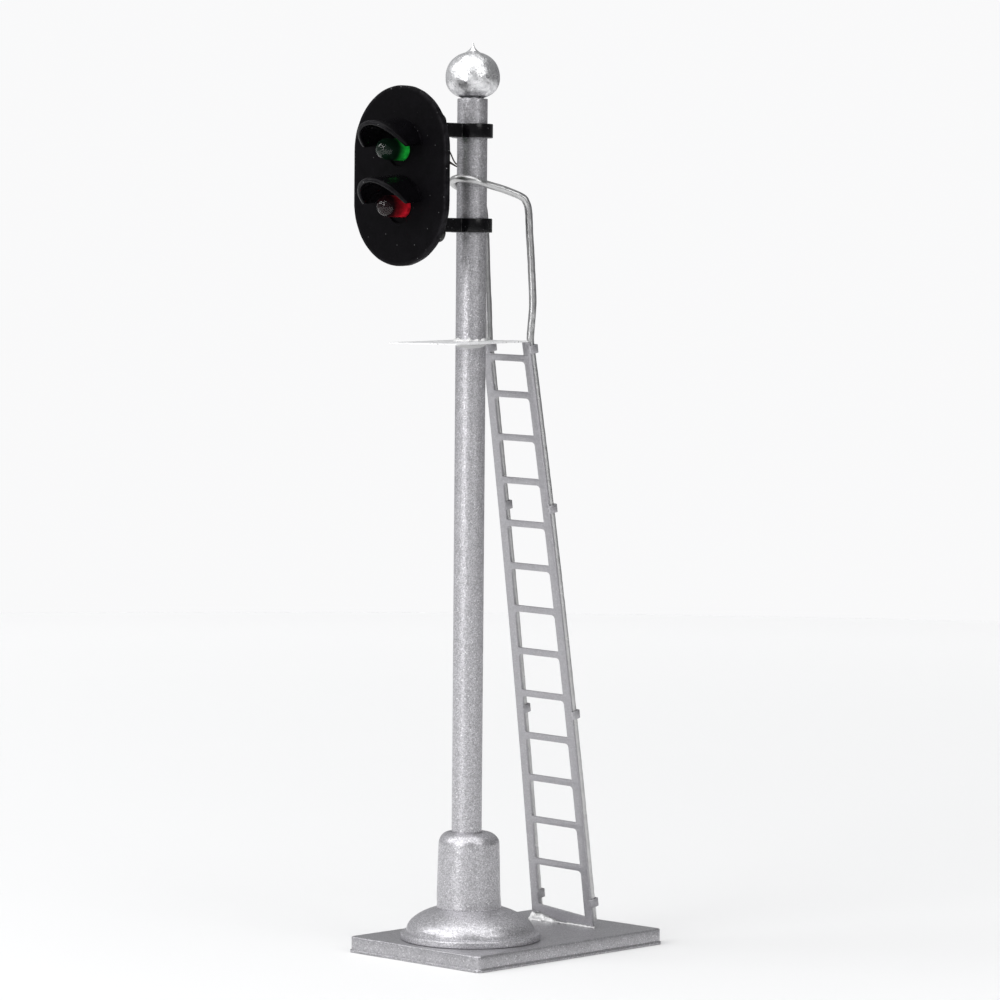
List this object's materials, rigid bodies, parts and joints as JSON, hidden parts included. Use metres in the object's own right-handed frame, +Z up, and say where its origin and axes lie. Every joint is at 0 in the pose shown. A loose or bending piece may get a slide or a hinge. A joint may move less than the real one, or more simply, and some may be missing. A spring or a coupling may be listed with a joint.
{
  "type": "model signal mast",
  "caption": "Model railway colour-light signal: round tube mast on a bell pedestal and flat base, oval target with hooded LEDs, ladder, work platform and ball finial.",
  "frame": {"origin": "centre of the base plate's flat underside", "axes": "+Z is up along the mast; -Y is the way the lamps face; +X is on the right of a viewer who faces the lamps"},
  "size_m": [0.0252, 0.0466, 0.125],
  "materials": {
    "silver_paint": "sprayed silver with a fine sparkle, semi-gloss",
    "bright_silver": "bright silver, glossy",
    "black_plastic": "black, satin",
    "green_epoxy": "tinted clear epoxy, glossy",
    "red_epoxy": "tinted clear epoxy, glossy",
    "tinned_wire": "tinned",
    "black_enamel": "enamelled wire, glossy"
  },
  "bodies": {
    "mast": {"base_plate": "silver_paint", "pedestal": "silver_paint", "mast_tube": "silver_paint", "ball_finial": "bright_silver", "ladder_frame": "silver_paint", "handrail_rod": "silver_paint", "work_platform": "silver_paint", "platform_collar": "silver_paint", "wire_green": "black_enamel", "wire_red": "black_enamel", "wire_common": "black_enamel"},
    "head": {"target_plate": "black_plastic", "rear_housing": "black_plastic", "upper_bracket": "black_plastic", "lower_bracket": "black_plastic", "hood_green": "black_plastic", "hood_red": "black_plastic", "led_green": "green_epoxy", "led_red": "red_epoxy", "led_green_anode": "tinned_wire", "led_green_cathode": "tinned_wire", "led_red_anode": "tinned_wire", "led_red_cathode": "tinned_wire"}
  },
  "joints": [
    {"name": "head_swivel", "type": "hinge", "parent": "mast", "child": "head", "pos_m": [0, -0.0082, 0.1066], "axis": [0, 0, 1], "range_deg": [-20, 20], "deforming": ["wire_green", "wire_red", "wire_common"]}
  ]
}
